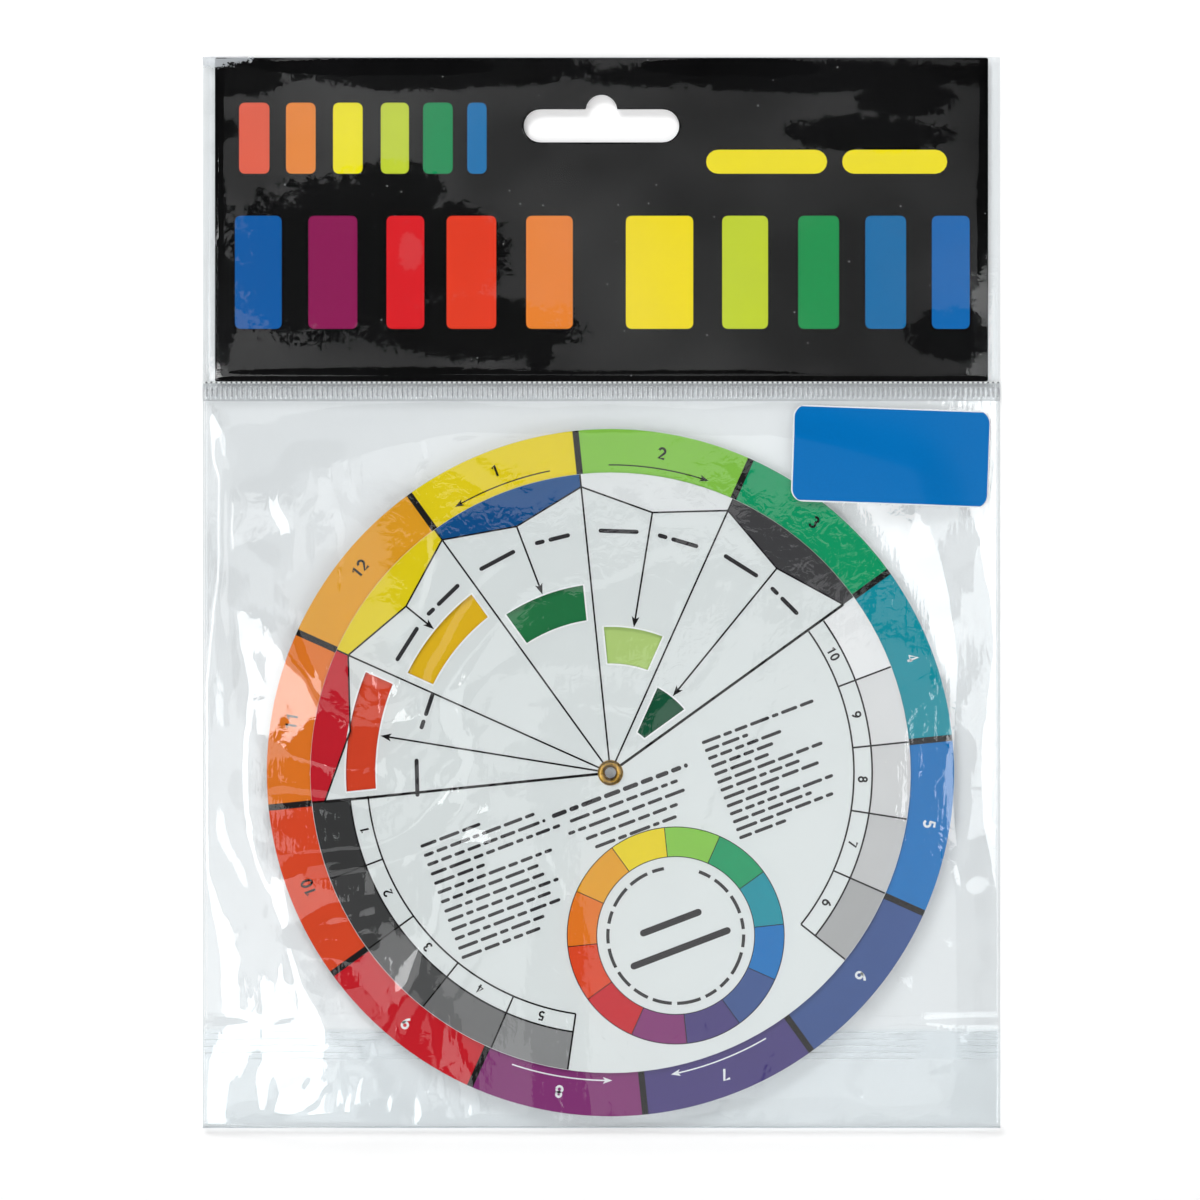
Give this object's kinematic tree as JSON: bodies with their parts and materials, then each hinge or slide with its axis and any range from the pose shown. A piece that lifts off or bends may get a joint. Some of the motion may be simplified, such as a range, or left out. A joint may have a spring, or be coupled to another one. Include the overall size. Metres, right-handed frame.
{
  "type": "color mixing wheel",
  "caption": "Pocket colour mixing wheel of card discs turning on a brass eyelet, in a clear hanging bag with a header card.",
  "frame": {"origin": "under the middle of the bag, on the surface that the pack lies on", "axes": "+Z out of the front of the pack, +Y up the pack towards the header card and its hang slot, +X to the right seen from the front"},
  "size_m": [0.1514, 0.2032, 0.0036],
  "materials": {
    "printed_card": "white card printed in colour, satin",
    "dial_card": "white printed card, satin",
    "header_card": "black printed card, satin",
    "eyelet": "polished brass",
    "film": "clear crinkled film",
    "adhesive": "clear tape",
    "label": "gloss blue sticker"
  },
  "bodies": {
    "wheel": {"base_disc": "printed_card", "eyelet": "eyelet"},
    "front_dial": {"front_dial": "dial_card"},
    "back_dial": {"back_dial": "dial_card"},
    "bag": {"bag_front_film": "film", "bag_back_film": "film", "header_card": "header_card", "label": "label"},
    "flap": {"bag_flap": "film", "adhesive_strip": "adhesive"}
  },
  "joints": [
    {"name": "front_dial_turn", "type": "hinge", "parent": "wheel", "child": "front_dial", "pos_m": [0.00169, -0.03413, 0.00244], "axis": [0, 0, 1], "continuous": true},
    {"name": "back_dial_turn", "type": "hinge", "parent": "wheel", "child": "back_dial", "pos_m": [0.00169, -0.03413, 0.00134], "axis": [0, 0, 1], "continuous": true},
    {"name": "bag_pull_off", "type": "slide", "parent": "wheel", "child": "bag", "axis": [0, 1, 0], "range_m": [0, 0.15]},
    {"name": "flap_fold", "type": "hinge", "parent": "bag", "child": "flap", "pos_m": [0, -0.10164, 0.00027], "axis": [-1, 0, 0], "range_deg": [0, 180]}
  ]
}
